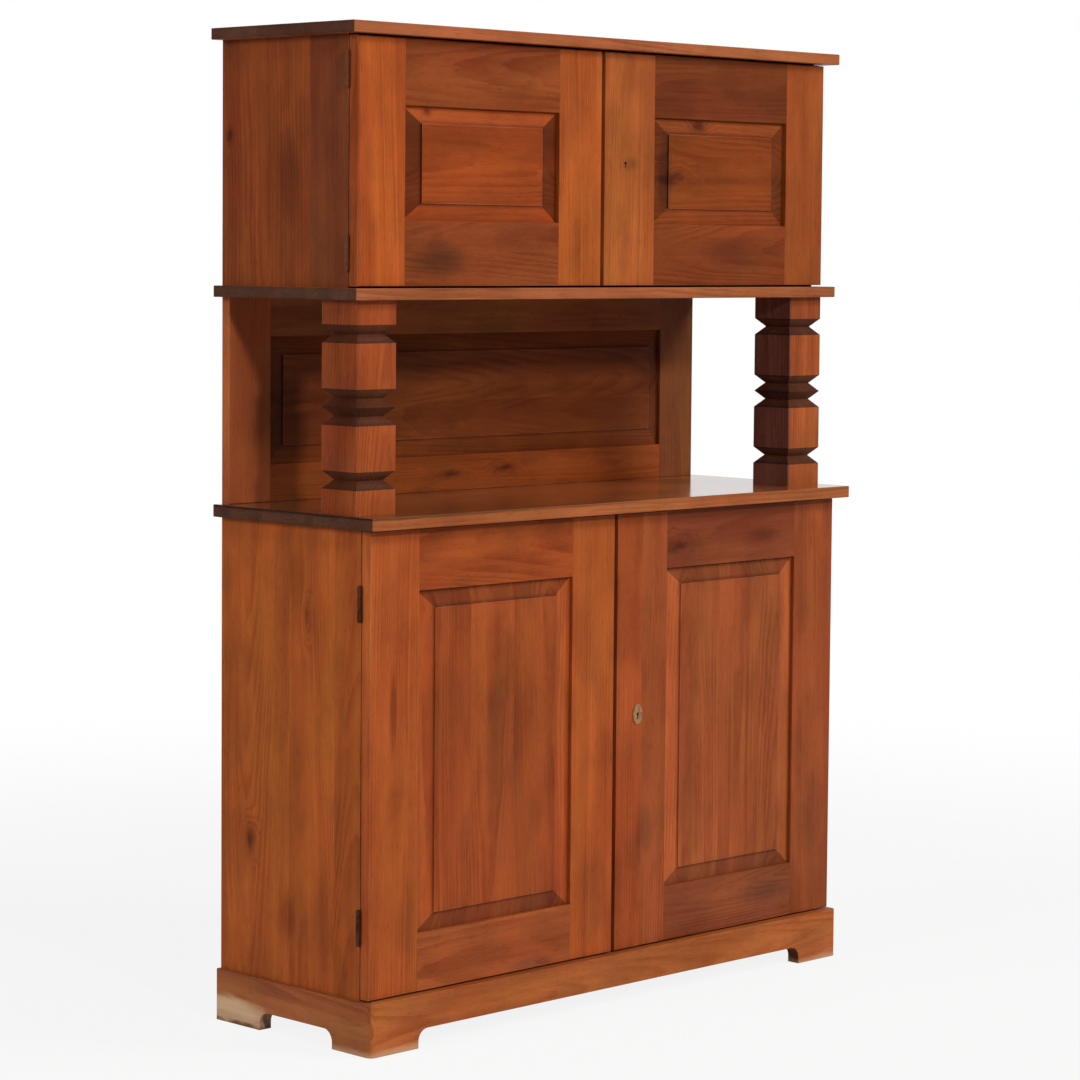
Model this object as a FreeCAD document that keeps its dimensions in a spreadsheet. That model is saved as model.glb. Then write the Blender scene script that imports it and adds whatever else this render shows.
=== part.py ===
import FreeCAD, Part
import os
import re
import Sketcher

# A two-stage pine cupboard: a plinth with bracket feet, a lower cabinet with two framed doors under
# a counter board, an open niche between two notched posts, and an upper cabinet with two framed doors.
# x runs to the right, y to the rear and z up; the origin is on the floor in the middle of the footprint.

# driving sizes in millimetres: name, value, what it measures
SIZES = (
    # the whole piece
    ("body_width", 1205, "outside width of both cabinets"),
    ("lower_depth", 391, "rear of the piece to the faces of the lower doors"),
    ("upper_depth", 354, "rear of the piece to the faces of the upper doors"),
    ("plinth_height", 92, "floor to the lower cabinet"),
    ("lower_height", 805, "lower cabinet, plinth to counter board"),
    ("counter_thick", 22, "counter board"),
    ("niche_height", 364, "counter board to middle board"),
    ("middle_thick", 20, "middle board, the floor of the upper cabinet"),
    ("upper_height", 427, "upper cabinet, middle board to top board"),
    ("top_thick", 20, "top board"),
    # how far the boards stand out past the sides and the door faces
    ("counter_side_lip", 20, "counter board past each side"),
    ("counter_front_lip", 25, "counter board past the lower doors"),
    ("middle_side_lip", 20, "middle board past each side"),
    ("middle_front_lip", 19, "middle board past the upper doors"),
    ("top_side_lip", 26, "top board past each side"),
    ("top_front_lip", 18, "top board past the upper doors"),
    ("plinth_side_lip", 10, "plinth past each side"),
    ("plinth_front_lip", 16, "plinth past the lower doors"),
    # plinth
    ("plinth_thick", 27, "front and side boards of the plinth"),
    ("plinth_back_thick", 20, "straight back board of the plinth"),
    ("apron_lift", 33, "floor to the straight edge between the feet"),
    ("foot_curve", 21, "radius between a foot and the straight edge"),
    ("front_foot", 112, "width of the feet on the front"),
    ("side_front_foot", 99, "width of the front feet on the sides"),
    ("side_rear_foot", 118, "width of the rear feet on the sides"),
    ("corner_round", 12, "radius of the two upright front corners"),
    ("corner_block", 32, "square section of the corner blocks"),
    ("corner_block_lift", 30, "floor to the underside of the corner blocks"),
    ("batten_depth", 32, "batten behind the plinth's front, front to rear"),
    ("batten_thick", 20, "the same batten, upright"),
    # carcasses
    ("side_thick", 22, "side boards"),
    ("bottom_thick", 20, "lower cabinet's bottom board"),
    ("shelf_thick", 18, "shelf"),
    ("shelf_setback", 24, "shelf's front edge behind the side boards' edges"),
    ("shelf_lift", 500, "floor to the shelf's top"),
    ("housing_depth", 7, "grooves in the sides that hold bottom and shelf"),
    ("top_rail_thick", 20, "rails under the counter board"),
    ("top_rail_depth", 60, "the same rails, front to rear"),
    ("back_thick", 10, "upright back boards"),
    ("back_rebate", 10, "width of the sides' rebate that holds the back boards"),
    ("back_gap", 0.6, "shrinkage gap between back boards"),
    # niche
    ("post_width", 90, "square posts"),
    ("notch_depth", 15, "depth of the notches round the posts"),
    ("notch_height", 31, "height of one notch"),
    ("notch_block", 78, "plain length between two notches"),
    ("niche_frame_thick", 20, "stiles and rails of the niche's back"),
    ("niche_stile", 95, "width of its stiles"),
    ("niche_top_rail", 70, "width of its top rail"),
    ("niche_bottom_rail", 66, "width of its bottom rail"),
    ("niche_side_bevel", 30, "sloped border at the sides of its panel"),
    ("niche_end_bevel", 33, "sloped border at the top and bottom of the same panel"),
    # doors
    ("door_thick", 22, "stiles and rails"),
    ("door_seam", 2, "gap between a shut door and the side boards' edges"),
    ("door_reveal", 3, "gap above and below a door"),
    ("meeting_gap", 9, "gap between two shut doors"),
    ("lower_gap_shift", 3, "middle of the lower doors' gap, left of the centre"),
    ("upper_gap_shift", 9, "middle of the upper doors' gap, left of the centre"),
    ("meeting_stile", 108, "width of the left doors' meeting stiles"),
    ("lock_stile", 131, "width of the right doors' lock stiles"),
    ("lower_hinge_stile", 112, "width of the lower doors' hinge stiles"),
    ("lower_top_rail", 106, "width of the lower doors' top rails"),
    ("lower_bottom_rail", 101, "width of the lower doors' bottom rails"),
    ("lower_side_bevel", 40, "sloped border at the sides of the lower doors' panels"),
    ("lower_end_bevel", 31, "sloped border at the top and bottom of the same panels"),
    ("upper_hinge_stile", 108, "width of the upper doors' hinge stiles"),
    ("upper_top_rail", 114, "width of the upper doors' top rails"),
    ("upper_bottom_rail", 112, "width of the upper doors' bottom rails"),
    ("upper_side_bevel", 40, "sloped border at the sides of the upper doors' panels"),
    ("upper_end_bevel", 29, "sloped border at the top and bottom of the same panels"),
    # framed panels
    ("field_recess", 1.5, "raised field behind the face of the frame"),
    ("field_step", 2.5, "square step round the raised field"),
    ("bevel_drop", 4, "fall of the sloped border"),
    ("tongue_thick", 7, "panel's edge in the groove"),
    ("tongue_reach", 8, "how far the panel goes into the groove"),
    ("groove_spare", 2, "room left at the bottom of the groove"),
    ("panel_play", 0.2, "play on each face of the panel's edge"),
    ("tenon_length", 45, "rail's tenon in the stile"),
    ("tenon_shoulder", 12, "rail's width left above and below its tenon, past the groove"),
    ("mortise_spare", 1, "room left at the bottom of the mortise"),
    # hinges
    ("hinge_length", 60, "length of a hinge"),
    ("lower_hinge_inset", 123, "end of a lower door to the middle of its hinge"),
    ("upper_hinge_inset", 56, "end of an upper door to the middle of its hinge"),
    ("leaf_width", 19, "flat part of a leaf"),
    ("leaf_thick", 1.6, "leaf"),
    ("leaf_gap", 0.4, "gap between the two leaves of a shut hinge"),
    ("knuckle_radius", 4, "barrel of the hinge"),
    ("knuckle_room", 0.3, "room between the barrel and the wood, and between knuckles"),
    ("hinge_pin_radius", 2, "hinge pin"),
    ("hinge_pin_play", 0.05, "running clearance round the pin"),
    ("pin_head_radius", 3, "heads of the pin"),
    ("pin_head_thick", 1.5, "thickness of the heads"),
    ("screw_radius", 1.5, "wood screw's shank"),
    ("screw_head_radius", 3, "wood screw's countersunk head"),
    ("screw_length", 14, "wood screw past its head"),
    # locks
    ("lock_backset", 54, "edge of the lock stile to the keyhole"),
    ("lock_case_width", 75, "lock case, sideways"),
    ("lock_case_height", 60, "lock case, upright"),
    ("lock_case_thick", 12, "lock case, front to rear"),
    ("bolt_length", 40, "lock bolt"),
    ("bolt_height", 18, "lock bolt"),
    ("bolt_thick", 7, "lock bolt"),
    ("bolt_inset", 1, "drawn bolt's end behind the edge of the door"),
    ("bolt_play", 0.3, "play round the bolt in its case"),
    ("bolt_engagement", 7, "thrown bolt's reach into the other door"),
    ("strike_play", 1, "play round the bolt in the other door"),
    ("strike_spare", 3, "room past the thrown bolt"),
    ("keyhole_radius", 2.8, "round part of the keyhole"),
    ("keyhole_slot", 2.4, "width of the keyhole's slot"),
    ("keyhole_drop", 9, "middle of the round part to the slot's end"),
    ("keyhole_reach", 4, "keyhole's depth in the lock case"),
    ("lower_keyhole_lift", 430, "lower door's bottom edge to its keyhole"),
    ("upper_keyhole_lift", 222, "upper door's bottom edge to its keyhole"),
    ("plate_width", 24, "oval keyhole plate"),
    ("plate_height", 37, "oval keyhole plate"),
    ("plate_thick", 1.8, "oval keyhole plate"),
    # shared by all cuts
    ("overrun", 1, "how far a cut runs past the surface that it opens"),
)
BACK_BOARDS = 6
KNUCKLES = 5
SCREWS = 3

UP = FreeCAD.Rotation(FreeCAD.Vector(0, 0, 1), 0)
TO_THE_REAR = FreeCAD.Rotation(FreeCAD.Vector(1, 0, 0), -90)
QUARTER_TURN = FreeCAD.Rotation(FreeCAD.Vector(0, 0, 1), 90)
QUARTER_TURN_BACK = FreeCAD.Rotation(FreeCAD.Vector(0, 0, 1), -90)

doc = FreeCAD.newDocument("cupboard")
sheet = doc.addObject("Spreadsheet::Sheet", "dims")
for row, (alias, size, meaning) in enumerate(SIZES, start=1):
    sheet.set(f"A{row}", meaning)
    sheet.set(f"B{row}", str(size))
    sheet.setAlias(f"B{row}", alias)
doc.recompute()
CELLS = {alias for alias, size, meaning in SIZES}
nodes = {}

# places that follow from the driving sizes, as formulas
HALF = "(body_width / 2)"
REAR = "((lower_depth + counter_front_lip) / 2)"
LOWER_FACE = f"({REAR} - lower_depth)"
UPPER_FACE = f"({REAR} - upper_depth)"
LOWER_EDGE = f"({LOWER_FACE} + door_thick + door_seam)"
UPPER_EDGE = f"({UPPER_FACE} + door_thick + door_seam)"
PLINTH_FACE = f"({LOWER_FACE} - plinth_front_lip)"
PLINTH_HALF = f"({HALF} + plinth_side_lip)"
LOWER_BASE = "plinth_height"
COUNTER_BASE = f"({LOWER_BASE} + lower_height)"
NICHE_BASE = f"({COUNTER_BASE} + counter_thick)"
MIDDLE_BASE = f"({NICHE_BASE} + niche_height)"
UPPER_BASE = f"({MIDDLE_BASE} + middle_thick)"
TOP_BASE = f"({UPPER_BASE} + upper_height)"
TOP = f"({TOP_BASE} + top_thick)"
BEVEL_BACK = "(field_recess + field_step + bevel_drop)"
GROOVE_DEPTH = "(tongue_reach + groove_spare)"
HINGE_AXIS = f"({HALF} + knuckle_radius + knuckle_room)"
INSIDE_REAR = f"({REAR} - back_thick)"


def formula(text):
    """Put the sheet's name before each cell's name."""
    def with_sheet(word):
        return f"dims.{word.group()}" if word.group() in CELLS else word.group()

    return re.sub(r"[a-z_]+", with_sheet, text)


calculator = doc.addObject("App::FeaturePython", "calculator")
calculator.addProperty("App::PropertyFloat", "result")


def worth(text):
    """What a formula comes to, for the first layout of a sketch."""
    calculator.setExpression("result", formula(text))
    calculator.recompute()
    return calculator.result


def bind(thing, **formulas):
    for name, text in formulas.items():
        thing.setExpression(name, formula(text))
    return thing


def place(thing, x, y, z, turn=UP):
    thing.Placement = FreeCAD.Placement(FreeCAD.Vector(), turn)
    for axis, text in (("x", x), ("y", y), ("z", z)):
        thing.setExpression(f"Placement.Base.{axis}", formula(text))
    return thing


def block(name, x, y, z):
    """Box between two places along each axis."""
    box = doc.addObject("Part::Box", name)
    bind(box, Length=f"{x[1]} - ({x[0]})", Width=f"{y[1]} - ({y[0]})", Height=f"{z[1]} - ({z[0]})")
    return place(box, x[0], y[0], z[0])


def rod(name, radius, length, x, y, z, turn=UP):
    cylinder = doc.addObject("Part::Cylinder", name)
    bind(cylinder, Radius=radius, Height=length)
    return place(cylinder, x, y, z, turn)


def joined(name, pieces):
    fusion = doc.addObject("Part::MultiFuse", name)
    fusion.Shapes = pieces
    return fusion


def cut(name, piece, tools):
    difference = doc.addObject("Part::Cut", name)
    difference.Base = piece
    difference.Tool = tools[0] if len(tools) == 1 else joined(f"{name}_cuts", tools)
    return difference


def group(name, pieces):
    compound = doc.addObject("Part::Compound", name)
    compound.Links = pieces
    return compound


def keep(name, piece):
    piece.Label = name
    nodes[name] = piece
    return piece


def sideways(side, inner, outer):
    """Span from an inner to an outer distance, on the left or on the right."""
    return (inner, outer) if side == "right" else (f"-({outer})", f"-({inner})")


def outward(side, distance):
    return distance if side == "right" else f"-({distance})"


def past(span):
    """The same span, run past both of its ends."""
    return f"{span[0]} - overrun", f"{span[1]} + overrun"


def origin_plane(body, role):
    return next(plane for plane in body.Origin.OriginFeatures if plane.Role == role)


def outline(body, name, role, loops):
    """Sketch of closed straight-edged loops, whose corners are pairs of formulas."""
    sketch = body.newObject("Sketcher::SketchObject", name)
    sketch.AttachmentSupport = (origin_plane(body, role), [""])
    sketch.MapMode = "FlatFace"
    for corners in loops:
        first = sketch.GeometryCount
        points = [FreeCAD.Vector(worth(across), worth(up), 0) for across, up in corners]
        for number, point in enumerate(points):
            sketch.addGeometry(Part.LineSegment(point, points[(number + 1) % len(points)]))
        for number, (across, up) in enumerate(corners):
            line = first + number
            before = first + (number - 1) % len(corners)
            sketch.addConstraint(Sketcher.Constraint("Coincident", before, 2, line, 1))
            for kind, text in (("DistanceX", across), ("DistanceY", up)):
                rule = sketch.addConstraint(Sketcher.Constraint(kind, -1, 1, line, 1, worth(text)))
                sketch.setExpression(f"Constraints[{rule}]", formula(text))
    return sketch


# Plinth. Three boards mitred at the front corners, with feet left by a sawn arch in each, a straight
# board between the rear feet, and a glued block in each corner. A batten behind the front carries the
# bottom board's front edge. The front corners are rounded.

def arch_cut(name, span, axis, depth):
    """Opening under a board: straight sides and top, with rounded upper corners."""
    low, high = span
    spring = "apron_lift - foot_curve"
    along = f"{depth[1]} - ({depth[0]})"
    pieces = []
    bounds = {
        "sides": ((low, high), ("-overrun", spring)),
        "crown": ((f"{low} + foot_curve", f"{high} - foot_curve"), ("-overrun", "apron_lift")),
    }
    for part, (across, up) in bounds.items():
        spans = (across, depth, up) if axis == "x" else (depth, across, up)
        pieces.append(block(f"{name}_{part}", *spans))
    for end, centre in (("low", f"{low} + foot_curve"), ("high", f"{high} - foot_curve")):
        if axis == "x":
            spot = (centre, depth[0], spring, TO_THE_REAR)
        else:
            spot = (depth[0], centre, spring, FreeCAD.Rotation(FreeCAD.Vector(0, 1, 0), 90))
        pieces.append(rod(f"{name}_{end}_curve", "foot_curve", along, *spot))
    return joined(name, pieces)


def corner_waste(side):
    """What is rounded off an upright front corner."""
    middle = outward(side, f"{PLINTH_HALF} - corner_round")
    across = sideways(side, f"{PLINTH_HALF} - corner_round", f"{PLINTH_HALF} + overrun")
    corner = block(
        f"corner_{side}", across, (f"{PLINTH_FACE} - overrun", f"{PLINTH_FACE} + corner_round"),
        past(("0", "plinth_height")),
    )
    depth = f"{PLINTH_FACE} + corner_round"
    height = "plinth_height + 4 * overrun"
    quarter = rod(f"corner_{side}_round", "corner_round", height, middle, depth, "-2 * overrun")
    return cut(f"corner_{side}_waste", corner, [quarter])


rounding = {side: corner_waste(side) for side in ("left", "right")}

front_board = doc.addObject("Part::Wedge", "plinth_front_board")
bind(
    front_board, Xmin=f"-{PLINTH_HALF}", Xmax=PLINTH_HALF, Ymin="0", Ymax="plinth_thick", Zmin="0",
    Zmax="plinth_height", X2min=f"plinth_thick - {PLINTH_HALF}", X2max=f"{PLINTH_HALF} - plinth_thick",
    Z2min="0", Z2max="plinth_height",
)
place(front_board, "0", PLINTH_FACE, "0")
front_depth = past((PLINTH_FACE, f"{PLINTH_FACE} + plinth_thick"))
front_arch = arch_cut(
    "front_arch", (f"front_foot - {PLINTH_HALF}", f"{PLINTH_HALF} - front_foot"), "x", front_depth
)
keep("plinth_front", cut("plinth_front", front_board, [front_arch, rounding["left"], rounding["right"]]))

for side in ("left", "right"):
    board = doc.addObject("Part::Wedge", f"plinth_{side}_board")
    length = f"{REAR} - {PLINTH_FACE}"
    mitred = ("plinth_thick", length) if side == "right" else ("0", f"{length} - plinth_thick")
    bind(
        board, Xmin="0", Xmax=length, Ymin="0", Ymax="plinth_thick", Zmin="0", Zmax="plinth_height",
        X2min=mitred[0], X2max=mitred[1], Z2min="0", Z2max="plinth_height",
    )
    if side == "right":
        place(board, PLINTH_HALF, PLINTH_FACE, "0", QUARTER_TURN)
    else:
        place(board, f"-{PLINTH_HALF}", REAR, "0", QUARTER_TURN_BACK)
    arch = arch_cut(
        f"{side}_arch", (f"{PLINTH_FACE} + side_front_foot", f"{REAR} - side_rear_foot"), "y",
        past(sideways(side, f"{PLINTH_HALF} - plinth_thick", PLINTH_HALF)),
    )
    keep(f"plinth_{side}", cut(f"plinth_{side}", board, [arch, rounding[side]]))

inner_plinth = f"({PLINTH_HALF} - plinth_thick)"
keep("plinth_back", block(
    "plinth_back", (f"-{inner_plinth}", inner_plinth), (f"{REAR} - plinth_back_thick", REAR),
    ("apron_lift", "plinth_height"),
))
blocks = []
for side in ("left", "right"):
    across = sideways(side, f"{inner_plinth} - corner_block", inner_plinth)
    front = f"{PLINTH_FACE} + plinth_thick"
    rear = f"{REAR} - plinth_back_thick"
    ends = {"front": (front, f"{front} + corner_block"), "rear": (f"{rear} - corner_block", rear)}
    for end, depth in ends.items():
        blocks.append(block(f"block_{side}_{end}", across, depth, ("corner_block_lift", "plinth_height")))
between_blocks = f"({inner_plinth} - corner_block)"
behind_front = f"({PLINTH_FACE} + plinth_thick)"
blocks.append(block(
    "plinth_batten", (f"-{between_blocks}", between_blocks), (behind_front, f"{behind_front} + batten_depth"),
    ("plinth_height - batten_thick", "plinth_height"),
))
keep("plinth_glue_blocks", group("plinth_glue_blocks", blocks))


# Hinges. Each is a butt hinge in the seam behind a door's outer edge: a leaf let into the edge of the
# side board, a leaf let into the back of the hinge stile, five knuckles outside the wood and a pin.

def screw_row(name, side, face, inward, low):
    """Countersunk screws in a line up the middle of a leaf, from its open face into the wood."""
    across = outward(side, f"{HALF} - leaf_width / 2")
    screws = []
    for number in range(SCREWS):
        height = f"{low} + hinge_length * {2 * number + 1} / {2 * SCREWS}"
        head = doc.addObject("Part::Cone", f"{name}_head_{number}")
        turn = TO_THE_REAR if inward > 0 else TO_THE_REAR.inverted()
        bind(head, Radius1="screw_head_radius", Radius2="screw_radius", Height="leaf_thick")
        place(head, across, face, height, turn)
        start = f"{face} + leaf_thick" if inward > 0 else f"{face} - leaf_thick"
        shank = rod(f"{name}_shank_{number}", "screw_radius", "screw_length", across, start, height, turn)
        screws.append(joined(f"{name}_{number}", [head, shank]))
    return screws


def hinge_leaf(name, side, seam, low, inward):
    """A leaf with its share of the knuckles: the frame's goes to the rear, the door's to the front."""
    near, far = "leaf_gap / 2", "(leaf_gap / 2 + leaf_thick)"
    if inward > 0:
        depth = (f"{seam} + {near}", f"{seam} + {far}")
    else:
        depth = (f"{seam} - {far}", f"{seam} - {near}")
    flat = sideways(side, f"{HALF} - leaf_width", HALF)
    plate = block(f"{name}_plate", flat, depth, (low, f"{low} + hinge_length"))
    pieces = [plate]
    for number in range(0 if inward > 0 else 1, KNUCKLES, 2):
        start = f"{low} + hinge_length * {number} / {KNUCKLES} + knuckle_room / 2"
        length = f"hinge_length / {KNUCKLES} - knuckle_room"
        reach = sideways(side, HALF, HINGE_AXIS)
        pieces.append(block(f"{name}_tongue_{number}", reach, depth, (start, f"{start} + {length}")))
        barrel = (outward(side, HINGE_AXIS), seam, start)
        pieces.append(rod(f"{name}_knuckle_{number}", "knuckle_radius", length, *barrel))
    bore = rod(
        f"{name}_bore", "hinge_pin_radius + hinge_pin_play", "hinge_length + 2 * overrun",
        outward(side, HINGE_AXIS), seam, f"{low} - overrun",
    )
    face = depth[0] if inward > 0 else depth[1]
    screws = screw_row(f"{name}_screw", side, face, inward, low)
    return plate, screws, cut(name, joined(f"{name}_blank", pieces), [bore] + screws)


def hinge_pin(name, side, seam, low):
    spot = (outward(side, HINGE_AXIS), seam)
    shaft_low = f"{low} + knuckle_room / 2"
    shaft_high = f"{low} + hinge_length - knuckle_room / 2"
    shaft = rod(f"{name}_shaft", "hinge_pin_radius", "hinge_length - knuckle_room", *spot, shaft_low)
    heads = [
        rod(f"{name}_foot", "pin_head_radius", "pin_head_thick", *spot, f"{shaft_low} - pin_head_thick"),
        rod(f"{name}_cap", "pin_head_radius", "pin_head_thick", *spot, shaft_high),
    ]
    return joined(name, [shaft] + heads)


TIERS = {
    "lower": {"base": LOWER_BASE, "top": COUNTER_BASE, "face": LOWER_FACE, "edge": LOWER_EDGE},
    "upper": {"base": UPPER_BASE, "top": TOP_BASE, "face": UPPER_FACE, "edge": UPPER_EDGE},
}
for sizes in TIERS.values():
    sizes["door_low"] = f"({sizes['base']} + door_reveal)"
    sizes["door_high"] = f"({sizes['top']} - door_reveal)"
frame_leaves, frame_screws, pins = [], [], []
frame_cuts, door_cuts, door_leaves, door_screws = {}, {}, {}, {}
for tier, sizes in TIERS.items():
    seam = f"({sizes['edge']} - door_seam / 2)"
    ends = {
        "low": f"({sizes['door_low']} + {tier}_hinge_inset - hinge_length / 2)",
        "high": f"({sizes['door_high']} - {tier}_hinge_inset - hinge_length / 2)",
    }
    for side in ("left", "right"):
        key = f"{tier}_{side}"
        frame_cuts[key], door_cuts[key], door_leaves[key], door_screws[key] = [], [], [], []
        for end, low in ends.items():
            plate, screws, leaf = hinge_leaf(f"{key}_{end}_frame_leaf", side, seam, low, 1)
            frame_leaves.append(leaf)
            frame_screws += screws
            frame_cuts[key] += [plate] + screws
            plate, screws, leaf = hinge_leaf(f"{key}_{end}_door_leaf", side, seam, low, -1)
            door_leaves[key].append(leaf)
            door_screws[key] += screws
            door_cuts[key] += [plate] + screws
            pins.append(hinge_pin(f"{key}_{end}_pin", side, seam, low))
keep("hinge_frame_leaves", group("hinge_frame_leaves", frame_leaves))
keep("hinge_frame_screws", group("hinge_frame_screws", frame_screws))
keep("hinge_pins", group("hinge_pins", pins))


# Carcasses. Side boards stand on the plinth and on the middle board; bottom and shelf are housed in the
# sides, the back boards lie in a rebate, and two rails tie the lower sides under the counter board.

def carcass_side(tier, side, housings):
    sizes = TIERS[tier]
    across = sideways(side, f"{HALF} - side_thick", HALF)
    upright = (sizes["base"], sizes["top"])
    board = block(f"{tier}_side_{side}_board", across, (sizes["edge"], REAR), upright)
    inner = f"{HALF} - side_thick"
    cuts = [block(
        f"{tier}_side_{side}_rebate", sideways(side, f"{inner} - overrun", f"{inner} + back_rebate"),
        (INSIDE_REAR, f"{REAR} + overrun"), past(upright),
    )]
    for number, (depth, up) in enumerate(housings):
        span = sideways(side, f"{inner} - overrun", f"{inner} + housing_depth")
        cuts.append(block(f"{tier}_side_{side}_housing_{number}", span, depth, up))
    name = f"{tier}_side_{side}"
    keep(name, cut(name, board, cuts + frame_cuts[f"{tier}_{side}"]))


def back_boards(tier):
    """Upright boards between the rebates of the sides."""
    sizes = TIERS[tier]
    half = f"({HALF} - side_thick + back_rebate)"
    pitch = f"((2 * {half} + back_gap) / {BACK_BOARDS})"
    boards = []
    for number in range(BACK_BOARDS):
        start = f"-{half} + {pitch} * {number}"
        boards.append(block(
            f"{tier}_back_{number}", (start, f"{start} + {pitch} - back_gap"), (INSIDE_REAR, REAR),
            (sizes["base"], sizes["top"]),
        ))
    keep(f"{tier}_back_boards", group(f"{tier}_back_boards", boards))


bottom_up = (LOWER_BASE, f"{LOWER_BASE} + bottom_thick")
bottom_depth = (LOWER_EDGE, INSIDE_REAR)
shelf_up = ("shelf_lift - shelf_thick", "shelf_lift")
shelf_depth = (f"{LOWER_EDGE} + shelf_setback", INSIDE_REAR)
housed = f"({HALF} - side_thick + housing_depth)"
inner = f"({HALF} - side_thick)"
for side in ("left", "right"):
    low_cut = (f"{LOWER_EDGE} - overrun", INSIDE_REAR), (f"{LOWER_BASE} - overrun", bottom_up[1])
    carcass_side("lower", side, [low_cut, (shelf_depth, shelf_up)])
    carcass_side("upper", side, [])
keep("lower_bottom", block("lower_bottom", (f"-{housed}", housed), bottom_depth, bottom_up))
keep("lower_shelf", block("lower_shelf", (f"-{housed}", housed), shelf_depth, shelf_up))
rails = []
for end, depth in (
    ("front", (LOWER_EDGE, f"{LOWER_EDGE} + top_rail_depth")),
    ("rear", (f"{INSIDE_REAR} - top_rail_depth", INSIDE_REAR)),
):
    up = (f"{COUNTER_BASE} - top_rail_thick", COUNTER_BASE)
    rails.append(block(f"top_rail_{end}", (f"-{inner}", inner), depth, up))
keep("lower_top_rails", group("lower_top_rails", rails))
for tier in TIERS:
    back_boards(tier)

for name, lip, front, up in (
    ("counter_board", "counter_side_lip", f"{LOWER_FACE} - counter_front_lip", (COUNTER_BASE, NICHE_BASE)),
    ("middle_board", "middle_side_lip", f"{UPPER_FACE} - middle_front_lip", (MIDDLE_BASE, UPPER_BASE)),
    ("top_board", "top_side_lip", f"{UPPER_FACE} - top_front_lip", (TOP_BASE, TOP)),
):
    keep(name, block(name, (f"-({HALF} + {lip})", f"{HALF} + {lip}"), (front, REAR), up))


# Framed panels. A panel lies loose in grooves of its frame: a thin edge all round, a sloped border with
# mitred corners, and a raised field behind a small square step. The rails are tenoned into the stiles.

def raised_panel(name, face, across, up, kind):
    """Panel that fills the opening between stiles and rails; face is the front of the frame."""
    slope_front = f"{face} + field_recess + field_step"
    slope_back = f"{face} + {BEVEL_BACK}"
    field_across = (f"{across[0]} + {kind}_side_bevel", f"{across[1]} - {kind}_side_bevel")
    field_up = (f"{up[0]} + {kind}_end_bevel", f"{up[1]} - {kind}_end_bevel")
    edge = block(
        f"{name}_edge", (f"{across[0]} - tongue_reach", f"{across[1]} + tongue_reach"),
        (slope_back, f"{slope_back} + tongue_thick"), (f"{up[0]} - tongue_reach", f"{up[1]} + tongue_reach"),
    )
    slope = doc.addObject("Part::Wedge", f"{name}_slope")
    bind(
        slope, Xmin=field_across[0], Xmax=field_across[1], Ymin=slope_front, Ymax=slope_back,
        Zmin=field_up[0], Zmax=field_up[1], X2min=across[0], X2max=across[1], Z2min=up[0], Z2max=up[1],
    )
    field = block(f"{name}_field", field_across, (f"{face} + field_recess", slope_front), field_up)
    keep(name, joined(name, [edge, slope, field]))


def groove_depth_span(face):
    start = f"{face} + {BEVEL_BACK} - panel_play"
    return start, f"{start} + tongue_thick + 2 * panel_play"


def tenon_span(up, inner_end):
    """Height of a tenon on a rail: its shoulder is wider by the groove at the rail's inner edge."""
    outer, grooved = "tenon_shoulder", f"{GROOVE_DEPTH} + tenon_shoulder"
    low, high = (outer, grooved) if inner_end == "high" else (grooved, outer)
    return f"{up[0]} + {low}", f"{up[1]} - ({high})"


def stile(name, face, thick, across, up, opening, rails, inner_side, extra=()):
    """Upright of a frame; inner_side says which of its edges, low or high x, meets the rails."""
    board = block(f"{name}_board", across, (face, f"{face} + {thick}"), up)
    depth = groove_depth_span(face)
    if inner_side == "high":
        groove = (f"{across[1]} - {GROOVE_DEPTH}", f"{across[1]} + overrun")
        mortise = (f"{across[1]} - tenon_length - mortise_spare", f"{across[1]} + overrun")
    else:
        groove = (f"{across[0]} - overrun", f"{across[0]} + {GROOVE_DEPTH}")
        mortise = (f"{across[0]} - overrun", f"{across[0]} + tenon_length + mortise_spare")
    groove_up = (f"{opening[0]} - {GROOVE_DEPTH}", f"{opening[1]} + {GROOVE_DEPTH}")
    cuts = [block(f"{name}_groove", groove, depth, groove_up)]
    for end, tenon in rails.items():
        cuts.append(block(f"{name}_mortise_{end}", mortise, depth, tenon))
    keep(name, cut(name, board, cuts + list(extra)))


def rail(name, face, thick, across, up, inner_end):
    """Level piece between two stiles; inner_end says which of its edges, low or high z, has the groove."""
    depth = groove_depth_span(face)
    tenons = block(
        f"{name}_tenons", (f"{across[0]} - tenon_length", f"{across[1]} + tenon_length"), depth,
        tenon_span(up, inner_end),
    )
    board = joined(f"{name}_board", [block(f"{name}_blank", across, (face, f"{face} + {thick}"), up), tenons])
    if inner_end == "high":
        groove = (f"{up[1]} - {GROOVE_DEPTH}", f"{up[1]} + overrun")
    else:
        groove = (f"{up[0]} - overrun", f"{up[0]} + {GROOVE_DEPTH}")
    keep(name, cut(name, board, [block(f"{name}_groove", past(across), depth, groove)]))


def frame(names, face, thick, across, up, widths, kind, extras):
    """Two stiles, two rails and a panel; widths are those of left stile, right stile, bottom and top rail."""
    left, right, bottom, top = widths
    opening = (f"({across[0]} + {left})", f"({across[1]} - {right})")
    clear = (f"({up[0]} + {bottom})", f"({up[1]} - {top})")
    low_rail, high_rail = (up[0], clear[0]), (clear[1], up[1])
    tenons = {"low": tenon_span(low_rail, "high"), "high": tenon_span(high_rail, "low")}
    stile(names["left"], face, thick, (across[0], opening[0]), up, clear, tenons, "high", extras["left"])
    stile(names["right"], face, thick, (opening[1], across[1]), up, clear, tenons, "low", extras["right"])
    rail(names["top"], face, thick, opening, high_rail, "low")
    rail(names["bottom"], face, thick, opening, low_rail, "high")
    raised_panel(names["panel"], face, opening, clear, kind)


# Niche. A framed back stands between counter and middle board, flush with the rear of the cabinets, and
# a square post with four notches round it carries each front corner of the upper cabinet.

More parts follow.
